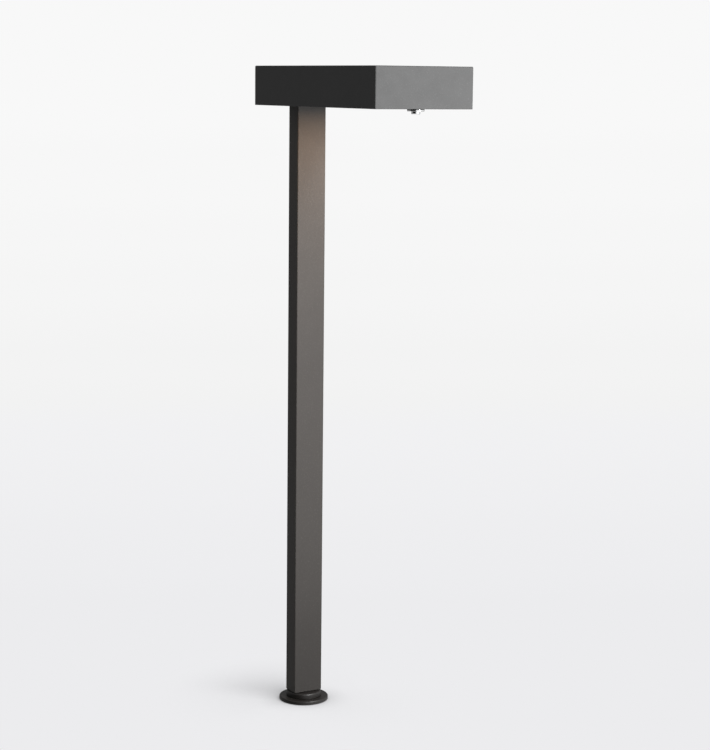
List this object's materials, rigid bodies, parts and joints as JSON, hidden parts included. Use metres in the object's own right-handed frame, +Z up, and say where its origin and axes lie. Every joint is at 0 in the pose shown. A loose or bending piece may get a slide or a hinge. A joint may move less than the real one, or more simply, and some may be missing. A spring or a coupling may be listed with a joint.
{
  "type": "bollard light",
  "caption": "Path-type bollard light: slim rectangular post on a round base, rectangular head cantilevered forward, lens frame underneath hinged open by a captive screw.",
  "frame": {"origin": "centre of the base flange's underside, on the post's axis, where the threaded stub leaves the base", "axes": "+Z up along the post; -Y forward, the way the head reaches out; X across the head's width"},
  "size_m": [0.0888, 0.2125, 0.5728],
  "materials": {
    "head_finish": "satin powder coat, dark bronze-black",
    "post_finish": "satin powder coat, dark bronze",
    "base_finish": "satin powder coat, dark bronze",
    "cast_inner": "as machined",
    "steel": "satin",
    "chrome": "polished",
    "brass": "satin",
    "reflector_alu": "bright satin",
    "rubber": "matte",
    "silicone": "matte",
    "lens_glass": "etched, frosted",
    "lamp_glass": "clear",
    "socket_body": "matte, heat resistant",
    "wire_jacket": "satin",
    "connector": "matte"
  },
  "bodies": {
    "fixture": {"head_housing": "head_finish", "boss_insert": "brass", "rear_cover_plate": "head_finish", "rear_cover_screws": "steel", "hinge_pins": "steel", "reflector": "reflector_alu", "reflector_screws": "steel", "lamp_bracket": "steel", "bracket_screws": "steel", "lamp_socket": "socket_body", "socket_screws": "steel", "socket_contacts": "brass", "wire_grommet": "rubber", "socket_leads": "wire_jacket", "wire_connectors": "connector", "supply_leads": "wire_jacket", "post": "post_finish", "post_top_plug": "cast_inner", "post_bolts": "steel", "post_grommet": "rubber", "base_hub": "base_finish", "base_flange": "base_finish", "base_screws": "steel", "strain_relief": "rubber"},
    "lens_door": {"lens_frame": "head_finish", "frame_gasket": "rubber", "lens_gasket": "silicone", "lens": "lens_glass", "lens_clips": "steel", "lens_clip_screws": "steel", "screw_retainer": "steel"},
    "screw_washers": {"screw_washer": "chrome", "screw_seal": "rubber"},
    "captive_screw": {"lens_screw": "chrome"},
    "lamp": {"lamp_bulb": "lamp_glass", "lamp_base": "lamp_glass", "lamp_filament": "steel"}
  },
  "joints": [
    {"name": "frame_hinge", "type": "hinge", "parent": "fixture", "child": "lens_door", "pos_m": [0, -0.018, 0.5294], "axis": [1, 0, 0], "range_deg": [0, 85]},
    {"name": "screw_travel", "type": "slide", "parent": "lens_door", "child": "screw_washers", "axis": [0, 0, -1], "range_m": [0, 0.0056]},
    {"name": "screw_turn", "type": "hinge", "parent": "screw_washers", "child": "captive_screw", "pos_m": [0, -0.1777, 0.5238], "axis": [0, 0, -1], "range_deg": [0, 2880]},
    {"name": "lamp_pull", "type": "slide", "parent": "fixture", "child": "lamp", "axis": [0, -1, 0], "range_m": [0, 0.012]}
  ],
  "couplings": [
    {"joint": "screw_turn", "follows": "screw_travel", "rad_per_m": 8976}
  ]
}
